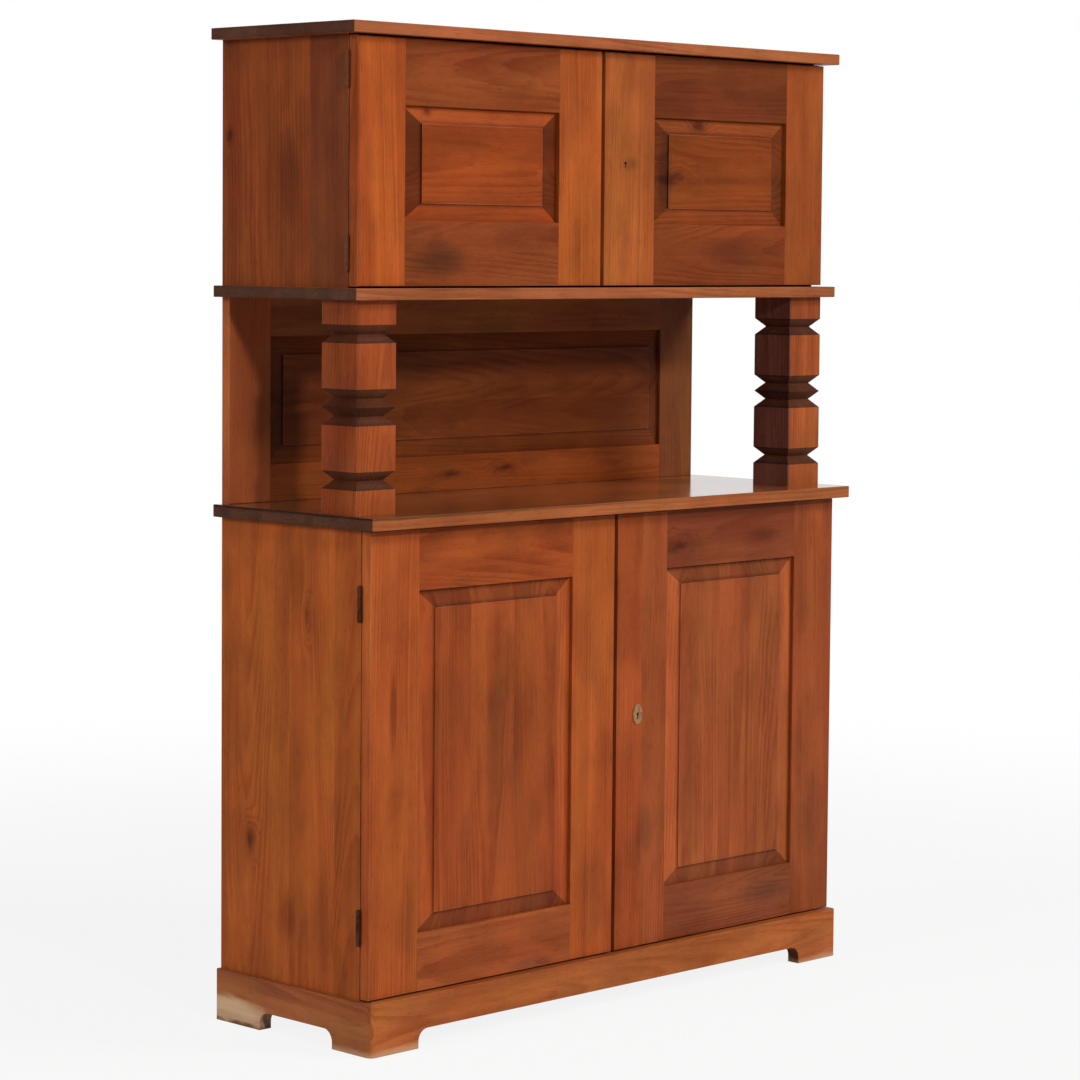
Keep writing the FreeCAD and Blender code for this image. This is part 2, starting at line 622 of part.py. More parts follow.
niche_names = {
    "left": "niche_stile_left", "right": "niche_stile_right", "top": "niche_rail_top",
    "bottom": "niche_rail_bottom", "panel": "niche_panel",
}
frame(
    niche_names, f"({REAR} - niche_frame_thick)", "niche_frame_thick", (f"-{HALF}", HALF),
    (NICHE_BASE, MIDDLE_BASE), ("niche_stile", "niche_stile", "niche_bottom_rail", "niche_top_rail"),
    "niche", {"left": (), "right": ()},
)


def notched_post(side):
    """Post drawn about its own axis: a square prism, sawn on two opposite faces, twice."""
    name = f"post_{side}"
    body = doc.addObject("PartDesign::Body", name)
    edge = "post_width / 2"
    square = [(f"-{edge}", f"-{edge}"), (edge, f"-{edge}"), (edge, edge), (f"-{edge}", edge)]
    pad = body.newObject("PartDesign::Pad", f"{name}_prism")
    pad.Profile = outline(body, f"{name}_square", "XY_Plane", [square])
    pad.setExpression("Length", formula("niche_height"))
    doc.recompute()
    pitch = "(notch_height + notch_block)"
    centre = "niche_height / 2"
    groups = (
        [f"({centre} - notch_height / 2 - {pitch})"],
        [f"({centre} - notch_height / 2)", f"({centre} + notch_height / 2)"],
        [f"({centre} + notch_height / 2 + {pitch})"],
    )
    loops = []
    for sign in ("", "-"):
        for notches in groups:
            corners = [(f"{sign}({edge} + overrun)", f"{notches[0]} - notch_height / 2")]
            for notch in notches:
                corners.append((f"{sign}({edge})", f"{notch} - notch_height / 2"))
                corners.append((f"{sign}({edge} - notch_depth)", notch))
            corners.append((f"{sign}({edge})", f"{notches[-1]} + notch_height / 2"))
            corners.append((f"{sign}({edge} + overrun)", f"{notches[-1]} + notch_height / 2"))
            loops.append(corners)
    for role in ("XZ_Plane", "YZ_Plane"):
        before = body.Shape.Volume
        pocket = body.newObject("PartDesign::Pocket", f"{name}_notches_{role[:2].lower()}")
        pocket.Profile = outline(body, f"{name}_notch_{role[:2].lower()}", role, loops)
        pocket.SideType = "Symmetric"
        pocket.Type = "ThroughAll"
        doc.recompute()
        if body.Shape.Volume >= before:
            raise RuntimeError(f"{name}: the notches cut nothing")
    place(body, outward(side, f"{HALF} - post_width / 2"), f"{UPPER_FACE} + post_width / 2", NICHE_BASE)
    keep(name, body)


for side in ("left", "right"):
    notched_post(side)


# Doors. Each overlays the edges of its carcass between the boards above and below. The right-hand door
# of each pair has the wider stile, which holds the lock; its bolt slides into the left-hand door.

def keyhole_cut(name, middle, centre, depth):
    """Keyhole with a round top and a slot below, along the depth."""
    round_part = rod(
        f"{name}_round", "keyhole_radius", f"{depth[1]} - ({depth[0]})", middle, depth[0], centre, TO_THE_REAR
    )
    slot = block(
        f"{name}_slot", (f"{middle} - keyhole_slot / 2", f"{middle} + keyhole_slot / 2"), depth,
        (f"{centre} - keyhole_drop", centre),
    )
    return joined(name, [round_part, slot])


def lock(tier, face, edge, centre):
    """Case let into the back of the lock stile, and its bolt; edge is the stile's meeting edge."""
    back = f"({face} + door_thick)"
    case_depth = (f"{back} - lock_case_thick", back)
    case = block(
        f"{tier}_lock_blank", (edge, f"{edge} + lock_case_width"), case_depth,
        (f"{centre} - lock_case_height / 2", f"{centre} + lock_case_height / 2"),
    )
    bolt_middle = f"({back} - lock_case_thick / 2)"
    bolt = block(
        f"{tier}_lock_bolt", (f"{edge} + bolt_inset", f"{edge} + bolt_inset + bolt_length"),
        (f"{bolt_middle} - bolt_thick / 2", f"{bolt_middle} + bolt_thick / 2"),
        (f"{centre} - bolt_height / 2", f"{centre} + bolt_height / 2"),
    )
    channel = block(
        f"{tier}_lock_channel", (f"{edge} - overrun", f"{edge} + bolt_inset + bolt_length + bolt_play"),
        (f"{bolt_middle} - bolt_thick / 2 - bolt_play", f"{bolt_middle} + bolt_thick / 2 + bolt_play"),
        (f"{centre} - bolt_height / 2 - bolt_play", f"{centre} + bolt_height / 2 + bolt_play"),
    )
    hole = keyhole_cut(
        f"{tier}_keyhole", f"{edge} + lock_backset", centre,
        (f"{face} - overrun", f"{case_depth[0]} + keyhole_reach"),
    )
    keep(f"{tier}_lock_case", cut(f"{tier}_lock_case", case, [channel, hole]))
    keep(f"{tier}_lock_bolt", bolt)
    pocket = block(
        f"{tier}_lock_pocket", (f"{edge} - overrun", f"{edge} + lock_case_width"),
        (case_depth[0], f"{back} + overrun"),
        (f"{centre} - lock_case_height / 2", f"{centre} + lock_case_height / 2"),
    )
    return [pocket, hole]


def strike(tier, face, edge, centre):
    """Mortise in the left-hand door for the thrown bolt; edge is that door's meeting edge."""
    middle = f"({face} + door_thick - lock_case_thick / 2)"
    return block(
        f"{tier}_strike", (f"{edge} - bolt_engagement - strike_spare", f"{edge} + overrun"),
        (f"{middle} - bolt_thick / 2 - strike_play", f"{middle} + bolt_thick / 2 + strike_play"),
        (f"{centre} - bolt_height / 2 - strike_play", f"{centre} + bolt_height / 2 + strike_play"),
    )


for tier, sizes in TIERS.items():
    up = (sizes["door_low"], sizes["door_high"])
    face = sizes["face"]
    centre = f"({up[0]} + {tier}_keyhole_lift)"
    edges = {
        "left": f"(-{tier}_gap_shift - meeting_gap / 2)",
        "right": f"(meeting_gap / 2 - {tier}_gap_shift)",
    }
    rails = (f"{tier}_bottom_rail", f"{tier}_top_rail")
    for side in ("left", "right"):
        key = f"{tier}_{side}"
        names = {part: f"{key}_{part}_rail" for part in ("top", "bottom")}
        names["panel"] = f"{key}_panel"
        if side == "left":
            names["left"], names["right"] = f"{key}_hinge_stile", f"{key}_meeting_stile"
            across = (f"-{HALF}", edges["left"])
            widths = (f"{tier}_hinge_stile", "meeting_stile") + rails
            extras = {"left": door_cuts[key], "right": [strike(tier, face, edges["left"], centre)]}
        else:
            names["left"], names["right"] = f"{key}_lock_stile", f"{key}_hinge_stile"
            across = (edges["right"], HALF)
            widths = ("lock_stile", f"{tier}_hinge_stile") + rails
            extras = {"left": lock(tier, face, edges["right"], centre), "right": door_cuts[key]}
        frame(names, face, "door_thick", across, up, widths, tier, extras)
        keep(f"{key}_hinge_leaves", group(f"{key}_hinge_leaves", door_leaves[key]))
        keep(f"{key}_hinge_screws", group(f"{key}_hinge_screws", door_screws[key]))

# oval plate round the lower keyhole, with its long way upright
plate_middle = "(meeting_gap / 2 - lower_gap_shift + lock_backset)"
plate_centre = f"({LOWER_BASE} + door_reveal + lower_keyhole_lift)"
oval = doc.addObject("Part::Ellipse", "plate_outline")
bind(oval, MajorRadius="plate_height / 2", MinorRadius="plate_width / 2")
upright = FreeCAD.Rotation(FreeCAD.Vector(0, 0, 1), FreeCAD.Vector(1, 0, 0), FreeCAD.Vector(0, 1, 0))
place(oval, plate_middle, f"{LOWER_FACE} - plate_thick", plate_centre, upright)
plate = doc.addObject("Part::Extrusion", "plate_blank")
plate.Base = oval
plate.DirMode = "Custom"
plate.Dir = FreeCAD.Vector(0, 1, 0)
plate.Solid = True
bind(plate, LengthFwd="plate_thick")
plate_hole = keyhole_cut(
    "plate_keyhole", plate_middle, plate_centre, past((f"{LOWER_FACE} - plate_thick", LOWER_FACE))
)
keep("lower_keyhole_plate", cut("lower_keyhole_plate", plate, [plate_hole]))

doc.removeObject("calculator")
doc.recompute()
for thing in doc.Objects:
    if {"Invalid", "Error"} & set(thing.State):
        raise RuntimeError(f"{thing.Label} failed: {thing.State}")
for name, piece in nodes.items():
    if piece.Shape.isNull() or not piece.Shape.isValid() or not piece.Shape.Solids:
        raise RuntimeError(f"{name} has no valid solid")

os.makedirs("parts", exist_ok=True)
for name, piece in nodes.items():
    piece.Shape.exportStep(f"parts/{name}.step")
print(len(nodes), "sub-parts")
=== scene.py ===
import math
import random

import bmesh
import bpy
from mathutils import Matrix, Vector


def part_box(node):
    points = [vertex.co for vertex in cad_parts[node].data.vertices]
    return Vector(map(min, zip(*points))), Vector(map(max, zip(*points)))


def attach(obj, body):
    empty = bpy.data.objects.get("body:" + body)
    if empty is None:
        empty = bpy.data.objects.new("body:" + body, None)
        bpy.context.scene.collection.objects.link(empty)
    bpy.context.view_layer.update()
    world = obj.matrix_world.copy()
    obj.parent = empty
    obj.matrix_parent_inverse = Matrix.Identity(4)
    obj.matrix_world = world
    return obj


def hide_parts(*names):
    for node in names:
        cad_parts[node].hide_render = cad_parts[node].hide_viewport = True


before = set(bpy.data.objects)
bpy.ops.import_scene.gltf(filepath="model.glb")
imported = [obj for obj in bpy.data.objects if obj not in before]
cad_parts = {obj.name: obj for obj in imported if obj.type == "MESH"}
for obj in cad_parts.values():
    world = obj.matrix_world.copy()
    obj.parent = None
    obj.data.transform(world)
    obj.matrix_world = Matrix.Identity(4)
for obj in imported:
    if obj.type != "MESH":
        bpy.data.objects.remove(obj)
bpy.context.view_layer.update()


# Plinth. Three pine boards mitred at the front corners, a straight one between the rear feet, and
# blocks and a batten glued inside them. The bracket feet are left by a sawn arch. Their undersides are
# rubbed, and the rear left foot, which stood wet and was kicked, has lost its lacquer.

def add(tree, kind, feeds, result=0, **settings):
    """A new shader node with its inputs linked or set; gives the output that is asked for."""
    node = tree.nodes.new("ShaderNode" + kind)
    for key, value in settings.items():
        setattr(node, key, value)
    for key, value in feeds.items():
        if isinstance(value, bpy.types.NodeSocket):
            tree.links.new(value, node.inputs[key])
        else:
            node.inputs[key].default_value = value
    return node.outputs[result]


def number(tree, operation, *values):
    return add(tree, "Math", dict(enumerate(values)), operation=operation)


def total(tree, first, second):
    return number(tree, "ADD", first, second)


def product(tree, first, second):
    return number(tree, "MULTIPLY", first, second)


def vector(tree, operation, *values):
    result = "Value" if operation in ("LENGTH", "DOT_PRODUCT") else "Vector"
    return add(tree, "VectorMath", dict(enumerate(values)), result, operation=operation)


def parts(tree, place):
    """The three numbers of a vector, as sockets."""
    return add(tree, "SeparateXYZ", {0: place}).node.outputs


def carried(tree, name):
    """A vector that the piece's mesh carries in an attribute of its own."""
    return add(tree, "Attribute", {}, "Vector", attribute_name=name)


def fade(tree, value, low, high, start, end):
    """Goes smoothly from start to end while the value goes from low to high."""
    feeds = {"Value": value, "From Min": low, "From Max": high, "To Min": start, "To Max": end}
    return add(tree, "MapRange", feeds, interpolation_type="SMOOTHSTEP")


def cloud(tree, place, stretch, detail=2.0, result="Fac"):
    """A soft noise with so many waves a metre along each axis."""
    at = vector(tree, "MULTIPLY", place, stretch)
    return add(tree, "TexNoise", {"Vector": at, "Scale": 1.0, "Detail": detail}, result)


def swing(tree, noise, size):
    """A noise taken about nought instead of a half."""
    return product(tree, number(tree, "SUBTRACT", noise, 0.5), size)


def drift(tree, place, stretch, detail, reach):
    """A push to and fro, by a noise of three parts."""
    noise = cloud(tree, place, stretch, detail, "Color")
    return vector(tree, "MULTIPLY", vector(tree, "SUBTRACT", noise, (0.5, 0.5, 0.5)), reach)


def laid(tree, under, share, over, blend="MULTIPLY"):
    """One colour over another; each is a socket or three plain numbers."""
    under, over = [one if isinstance(one, bpy.types.NodeSocket) else (*one, 1) for one in (under, over)]
    return add(tree, "Mix", {0: share, 6: under, 7: over}, 2, data_type="RGBA", blend_type=blend)


RINGS_A_METRE = 190.0
KNOT_SWELL = 0.014


def late_wood(tree, log, knots):
    """The dark line of each growth ring: rings of uneven width that waver along the trunk, swell round
    the knots, and are stronger in some places than in others."""
    bent = vector(tree, "ADD", log, drift(tree, log, (1.3, 6.0, 6.0), 2.0, (0.0, 0.030, 0.030)))
    bent = vector(tree, "ADD", bent, drift(tree, log, (9.0, 60.0, 60.0), 3.0, (0.0, 0.0035, 0.0035)))
    radius = vector(tree, "LENGTH", vector(tree, "MULTIPLY", bent, (0.0, 1.0, 1.0)))
    for knot in knots:
        radius = total(tree, radius, fade(tree, knot, 0.5, 3.2, KNOT_SWELL, 0.0))
    place = {"W": product(tree, radius, 38.0), "Scale": 1.0, "Detail": 1.0}
    uneven = product(tree, add(tree, "TexNoise", place, "Fac", noise_dimensions="1D"), 4.0)
    ring = number(tree, "FRACT", total(tree, product(tree, radius, RINGS_A_METRE), uneven))
    line = product(tree, fade(tree, ring, 0.25, 0.86, 0.0, 1.0), fade(tree, ring, 0.93, 1.0, 1.0, 0.0))
    patch = cloud(tree, vector(tree, "ADD", log, (3.0, 1.0, 8.0)), (4.0, 16.0, 16.0))
    return product(tree, line, fade(tree, patch, 0.36, 0.64, 0.10, 1.0))


GRIME_AND_SHADE = (0.50, 0.42, 0.40)
BLEACHED = (0.62, 0.41, 0.25)
PALE_RIM = (0.56, 0.33, 0.19)
ROTTEN = (0.20, 0.13, 0.10)


def pine(name, early, late, end_grain, worn, roughness, coat, coat_roughness=0.38, coat_ior=1.22):
    """Pine whose figure is cut from a log: a board carries its place in its own trunk, so that rings,
    flames and end grain follow from how it lies there."""
    material = bpy.data.materials.new(name)
    material.use_nodes = True
    tree = material.node_tree
    shader = tree.nodes["Principled BSDF"]
    log = carried(tree, "log")
    torn = swing(tree, cloud(tree, log, (30.0, 70.0, 70.0), 3.0), 1.9)
    knots = [total(tree, vector(tree, "LENGTH", carried(tree, mark)), torn) for mark in ("knot_a", "knot_b")]
    line = late_wood(tree, log, knots)
    streak = cloud(tree, log, (0.9, 26.0, 26.0), 3.0)
    mottle = cloud(tree, log, (6.0, 20.0, 20.0), 3.0)
    fibre = cloud(tree, log, (22.0, 700.0, 700.0))
    ragged = swing(tree, mottle, 1.6)

    # Each tone comes in between two levels of its noise, up to a share of its own.
    hue = cloud(tree, vector(tree, "ADD", log, (7.0, 3.0, 5.0)), (3.5, 9.0, 9.0))
    heart = cloud(tree, log, (1.6, 7.0, 7.0))
    band = cloud(tree, log, (0.7, 85.0, 85.0), 1.0)
    smudge = cloud(tree, vector(tree, "ADD", log, (5.0, 9.0, 2.0)), (8.0, 15.0, 15.0), 3.0)
    duct = cloud(tree, log, (45.0, 1300.0, 1300.0), 0.0)
    tones = (
        (hue, 0.35, 0.65, 1.00, (0.93, 1.03, 0.93)),
        (heart, 0.36, 0.64, 0.70, (0.76, 0.68, 0.66)),
        (streak, 0.36, 0.66, 0.65, (0.76, 0.68, 0.66)),
        (band, 0.38, 0.68, 0.32, (0.82, 0.76, 0.74)),
        (mottle, 0.38, 0.66, 0.60, (0.84, 0.77, 0.74)),
        (smudge, 0.42, 0.66, 0.75, (0.78, 0.80, 0.84)),
        (fibre, 0.40, 0.70, 0.28, (0.76, 0.70, 0.66)),
        (duct, 0.66, 0.76, 0.60, (0.55, 0.45, 0.40)),
    )
    colour = laid(tree, carried(tree, "tint"), 1.0, early)
    colour = laid(tree, colour, line, late)
    for noise, start, full, most, tone in tones:
        colour = laid(tree, colour, fade(tree, noise, start, full, 0.0, most), tone)
    for knot in knots:
        colour = laid(tree, colour, fade(tree, knot, 0.6, 2.4, 0.7, 0.0), (0.66, 0.58, 0.58))
        colour = laid(tree, colour, fade(tree, knot, 0.1, 1.2, 0.85, 0.0), (0.42, 0.36, 0.46))
    # A patch in the stain's tone: mostly real stains, but painted shade on the niche's panel and on the posts'
    # left faces.
    stain_and_shade = total(tree, vector(tree, "LENGTH", carried(tree, "stain_and_shade")), ragged)
    colour = laid(tree, colour, fade(tree, stain_and_shade, 0.25, 1.25, 1.0, 0.0), carried(tree, "stain_and_shade_tone"))

    # Faces across the grain drink more lacquer, and grime and painted shade darken the corner at the foot of a
    # panel's raised field.
    cut = parts(tree, carried(tree, "cut"))[0]
    colour = laid(tree, colour, fade(tree, cut, 0.04, 0.12, 0.0, 0.9), (0.64, 0.66, 0.74))
    inside = vector(tree, "MINIMUM", carried(tree, "near"), carried(tree, "far"))
    inward, sideward, _ = parts(tree, inside)
    beyond = number(tree, "MINIMUM", inward, sideward)
    hazy = total(tree, beyond, product(tree, streak, 0.004))
    # A thin line just outside the field: grime, and painted shade under the field's step.
    corner = product(tree, fade(tree, beyond, -0.0005, -0.0001, 1.0, 0.0),
                     fade(tree, hazy, -0.005, 0.001, 0.0, 1.0))
    colour = laid(tree, colour, product(tree, corner, 0.50), GRIME_AND_SHADE)

    # Edges are darker, and where hands rub them the lacquer is thin; end grain is darkest.
    along, across, through = parts(tree, vector(tree, "ABSOLUTE", inside))
    lesser = number(tree, "MINIMUM", along, across)
    greater = number(tree, "MAXIMUM", along, across)
    edge = number(tree, "MAXIMUM", lesser, number(tree, "MINIMUM", greater, through))
    colour = laid(tree, colour, fade(tree, edge, 0.0005, 0.008, 0.25, 0.0), (0.72, 0.62, 0.58))
    end = fade(tree, cut, 0.30, 0.72, 0.0, 1.0)
    colour = laid(tree, colour, end, end_grain)
    chafed = fade(tree, total(tree, edge, product(tree, ragged, 0.004)), 0.0002, 0.0022, 0.16, 0.0)
    colour = laid(tree, colour, product(tree, chafed, number(tree, "SUBTRACT", 1.0, end)), worn, "MIX")

    # Close to the floor the feet are rubbed pale, and a bared foot is bleached and rotten underneath.
    rubbed = total(tree, vector(tree, "LENGTH", carried(tree, "rubbed")), ragged)
    bared = fade(tree, rubbed, 0.55, 1.15, 1.0, 0.0)
    above_floor = parts(tree, add(tree, "TexCoord", {}, "Object"))[2]
    rim = total(tree, above_floor, product(tree, ragged, 0.012))
    colour = laid(tree, colour, fade(tree, rim, 0.001, 0.014, 0.60, 0.0), PALE_RIM, "MIX")
    weathered = laid(tree, BLEACHED, fade(tree, streak, 0.36, 0.62, 0.0, 0.8), (0.62, 0.52, 0.46))
    weathered = laid(tree, weathered, fade(tree, mottle, 0.40, 0.64, 0.0, 0.6), (0.74, 0.68, 0.66))
    colour = laid(tree, colour, product(tree, bared, 0.92), weathered, "MIX")
    rot = fade(tree, total(tree, above_floor, product(tree, torn, 0.012)), 0.000, 0.009, 0.85, 0.0)
    colour = laid(tree, colour, product(tree, rot, bared), ROTTEN)
    tree.links.new(colour, shader.inputs["Base Color"])

    rough = fade(tree, fibre, 0.3, 0.7, roughness - 0.05, roughness + 0.08)
    rough = total(tree, rough, product(tree, bared, 0.25))
    rough = total(tree, rough, product(tree, end, 0.45))
    tree.links.new(rough, shader.inputs["Roughness"])
    height = total(tree, product(tree, line, 0.5), product(tree, fibre, 0.5))
    height = total(tree, height, product(tree, mottle, 1.2))
    bump = add(tree, "Bump", {"Height": height, "Strength": 0.35, "Distance": 0.0006})
    tree.links.new(bump, shader.inputs["Normal"])
    shader.inputs["Specular IOR Level"].default_value = 0.05
    shader.inputs["Coat Weight"].default_value = coat
    shader.inputs["Coat Roughness"].default_value = coat_roughness
    shader.inputs["Coat IOR"].default_value = coat_ior
    return material


stained_wood = {"early": (1.28, 1.38, 1.42), "late": (0.80, 0.71, 0.67), "end_grain": (0.38, 0.50, 0.80),
                "worn": (0.52, 0.22, 0.09)}
lacquered = pine("lacquered_pine", **stained_wood, roughness=0.45, coat=0.18)
polished = pine("polished_pine", **stained_wood, roughness=0.40, coat=1.0, coat_roughness=0.13,
                coat_ior=1.45)
bare = pine("bare_pine", early=(1.15, 1.18, 1.20), late=(0.74, 0.65, 0.58), end_grain=(0.80, 0.85, 0.90),
            worn=(0.52, 0.36, 0.22), roughness=0.62, coat=0.0)


SAME_PLACE = 1e-6  # metres
SAME_PLANE = 0.01  # radians


def joiners_copy(node):
    """The node's shape with its loose triangles merged back to the joiner's flat faces."""
    shape = bmesh.new()
    shape.from_mesh(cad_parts[node].data)
    bmesh.ops.remove_doubles(shape, verts=shape.verts, dist=SAME_PLACE)
    bmesh.ops.dissolve_limit(shape, angle_limit=SAME_PLANE, verts=shape.verts, edges=shape.edges)
    return shape


OUTER_CORNER = 0.6  # radians between two faces
ARRIS = 0.0012  # metres


def soften(shape, width, wanted=lambda edge: True):
    """Takes the arris off the outer corners that are wanted."""
    edges = [edge for edge in shape.edges
             if edge.is_manifold and edge.calc_face_angle_signed() > OUTER_CORNER and wanted(edge)]
    bmesh.ops.bevel(shape, geom=edges, offset=width, segments=3, profile=0.5, affect="EDGES", material=-1,
                    clamp_overlap=False)


def extent(shape):
    places = [vert.co for vert in shape.verts]
    return (Vector([min(place[k] for place in places) for k in range(3)]),
            Vector([max(place[k] for place in places) for k in range(3)]))


BESIDE_HEART = (0.05, 0.11)  # metres from the middle of the log
QUARTERED = (0.08, 0.16)
NEAR_HEART = 0.3
LEAN, TIP = 0.035, 0.05  # metres a metre
LOG_LENGTH = 40


def from_the_log(chance, start, stop, lies, glued):
    """Where a board lay in its log: how far from the heart, how it leans there, and its own tone."""
    away, side = chance.uniform(*BESIDE_HEART), chance.uniform(-0.3, 0.3) * (stop - start)
    if lies == "heart":
        away *= NEAR_HEART
    if lies == "quarter":
        away, side = chance.uniform(-0.02, 0.02), (stop - start) / 2 + chance.uniform(*QUARTERED)
    return {
        "stop": stop, "middle": (start + stop) / 2, "away": away * chance.choice((-1, 1)), "side": side,
        "lean": chance.uniform(-LEAN, LEAN), "tip": chance.uniform(-TIP, TIP),
        "start": chance.uniform(0, LOG_LENGTH), "tone": [chance.uniform(0.96, 1.04) if glued else 1.0] * 3,
    }


FAR_OFF = (9.0, 9.0, 9.0)


def offset(mark, place):
    """The way from a mark's middle, in the mark's own sizes."""
    if mark is None:
        return FAR_OFF
    middle, size = mark
    return [(place[k] - middle[k]) / size[k] for k in range(3)]


WIDE_FACE = 0.005  # metres
STEEP = 0.9  # radians
SLIGHT = 0.03
SLOPED = 0.04  # share of a normal that points along the grain


def shade(shape):
    """Shades smooth over the softened corners only: two wide faces keep the edge between them."""
    wide = {face: face.calc_area() / max(edge.calc_length() for edge in face.edges) > WIDE_FACE
            for face in shape.faces}
    for face in shape.faces:
        face.smooth = True
    for edge in shape.edges:
        bend = edge.calc_face_angle(0)
        edge.smooth = not (bend > STEEP or (bend > SLIGHT and all(wide[face] for face in edge.link_faces)))


STAIN_TONE = (0.60, 0.54, 0.56)
CARRIED = ("log", "near", "far", "tint", "cut", "knot_a", "knot_b", "stain_and_shade", "stain_and_shade_tone", "rubbed")


def wooden(name, shape, body, slot, tint, along, shut="", lies="flat", glued=(), tones=None, knots=(),
           stain_and_shade=None, stain_and_shade_tone=STAIN_TONE, rubbed=None, edges=None, border=(1.0, 1.0), mitred=False,
           finish=lacquered, nodes=None):
    """The finished piece: along is its grain's axis, shut the sides that meet other wood, lies its cut
    from the log, and glued the shares of its width where one board, of a tone of its own, is glued to
    the next. Faces outside the edges, a panel's planed borders, are lit by the border's two shares,
    along and across the grain. A mitred end shows no end grain."""
    chance = random.Random(name)
    low, high = extent(shape)
    first = "xyz".index(along)
    second, third = sorted((k for k in range(3) if k != first), key=lambda k: low[k] - high[k])
    order = (first, second, third)
    axis = Vector([float(k == second) for k in range(3)])
    joints = [low[second] + share * (high[second] - low[second]) for share in glued]
    for joint in joints:
        bmesh.ops.bisect_plane(shape, geom=shape.verts[:] + shape.edges[:] + shape.faces[:],
                               plane_co=axis * joint, plane_no=axis)
    boards = [from_the_log(chance, start, stop, lies, glued)
              for start, stop in zip([low[second], *joints], [*joints, high[second]])]
    for board, tone in zip(boards, tones or ()):
        board["tone"] = tone
    marks = dict(zip(("knot_a", "knot_b"), (*knots, None, None)), stain_and_shade=stain_and_shade, rubbed=rubbed)
    layers = {key: shape.loops.layers.float_vector.new(key) for key in CARRIED}
    wear_low, wear_high = edges or (low, high)
    shape.normal_update()
    for face in shape.faces:
        middle = face.calc_center_median()
        board = next((one for one in boards if middle[second] < one["stop"]), boards[-1])
        cut = [abs(face.normal[k]) for k in order]
        if mitred and min(abs(face.normal.x), abs(face.normal.y)) > SLOPED:
            cut[0] = 0.0
        planed = any(not wear_low[k] < middle[k] < wear_high[k] for k in order[:2])
        lighter = border[cut[0] > SLOPED] if planed else 1.0
        for loop in face.loops:
            place = loop.vert.co
            length, width = place[first], place[second] - board["middle"]
            depth = place[third] - (low[third] + high[third]) / 2
            loop[layers["log"]] = (length + board["start"], width + board["side"] + length * board["lean"],
                                   depth + board["away"] + length * board["tip"])
            loop[layers["near"]] = [place[k] - wear_low[k] + ("-" + "xyz"[k] in shut) for k in order]
            loop[layers["far"]] = [wear_high[k] - place[k] + ("+" + "xyz"[k] in shut) for k in order]
            loop[layers["tint"]] = [one * tone * lighter for one, tone in zip(tint, board["tone"])]
            loop[layers["cut"]] = cut
            loop[layers["stain_and_shade_tone"]] = stain_and_shade_tone
            for key, mark in marks.items():
                loop[layers[key]] = offset(mark, place)
    shade(shape)
    mesh = bpy.data.meshes.new(name)
    shape.to_mesh(mesh)
    shape.free()
    mesh.materials.append(finish)
    thing = bpy.data.objects.new(name + "_wood", mesh)
    bpy.context.scene.collection.objects.link(thing)
    even = thing.modifiers.new("even shading", "WEIGHTED_NORMAL")
    even.keep_sharp = True
    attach(thing, body)
    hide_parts(*(nodes or [name]))
    return thing


NEAR = 1e-4  # metres
MITRE_REACH = 0.4135  # x plus y on the front corners' mitres
BOTH_WAYS = 50.0  # reaches through the whole piece
worn_foot = (Vector((0, 0.160, 0.0)), (BOTH_WAYS, 0.105, 0.050))
for node, along, tint, rubbed in (("plinth_front", "x", (0.388, 0.102, 0.027), None),
                                  ("plinth_left", "y", (0.356, 0.105, 0.037), worn_foot),
                                  ("plinth_right", "y", (0.33, 0.085, 0.027), None)):
    shape = joiners_copy(node)
    soften(shape, ARRIS,
           lambda edge: not all(abs(abs(vert.co.x) + vert.co.y - MITRE_REACH) < NEAR for vert in edge.verts))
    wooden(node, shape, "cabinet", "lacquered_pine", tint, along, "+z", rubbed=rubbed, mitred=True)


def planks(node):
    """The low and the high corner of each solid of a node of plain boards."""
    whole = joiners_copy(node)
    left = set(whole.verts)
    found = []
    while left:
        island, grown = set(), {left.pop()}
        while grown:
            vert = grown.pop()
            island.add(vert)
            grown |= {edge.other_vert(vert) for edge in vert.link_edges} - island
        left -= island
        low = [min(vert.co[k] for vert in island) for k in range(3)]
        high = [max(vert.co[k] for vert in island) for k in range(3)]
        found.append((low, high))
    whole.free()
    return sorted(found)


def sawn(low, high, arris=ARRIS):
    """A sawn board with its arrises taken off."""
    shape = bmesh.new()
    bmesh.ops.create_cube(shape, size=1.0)
    bmesh.ops.scale(shape, vec=Vector(high) - Vector(low), verts=shape.verts)
    bmesh.ops.translate(shape, vec=(Vector(low) + Vector(high)) / 2, verts=shape.verts)
    soften(shape, arris)
    return shape


def plain_boards(node, tint, along=""):
    """Each board of the node, unlacquered; without an axis its grain runs along its longest side."""
    spans = planks(node)
    for count, (low, high) in enumerate(spans, 1):
        name = f"{node}_{count}" if len(spans) > 1 else node
        lengths = [high[k] - low[k] for k in range(3)]
        grain = along or max(zip(lengths, "xyz"))[1]
        wooden(name, sawn(low, high), "cabinet", "bare_pine", tint, grain, finish=bare, nodes=[node])


plain_boards("plinth_back", (0.48, 0.235, 0.105))
plain_boards("plinth_glue_blocks", (0.52, 0.26, 0.12))


# Carcasses. The sides are boards glued edge to edge with the grain upright; bottom and shelf are housed
# in them, the back boards lie in a rebate, and two rails tie the lower sides. Inside, the pine is bare.

def on_side(y, z, deep, high):
    """A mark on a side face: its middle and how far it reaches."""
    return Vector((0, y, z)), (BOTH_WAYS, deep, high)


def rises(edge, least):
    return abs(edge.verts[0].co.z - edge.verts[1].co.z) > least


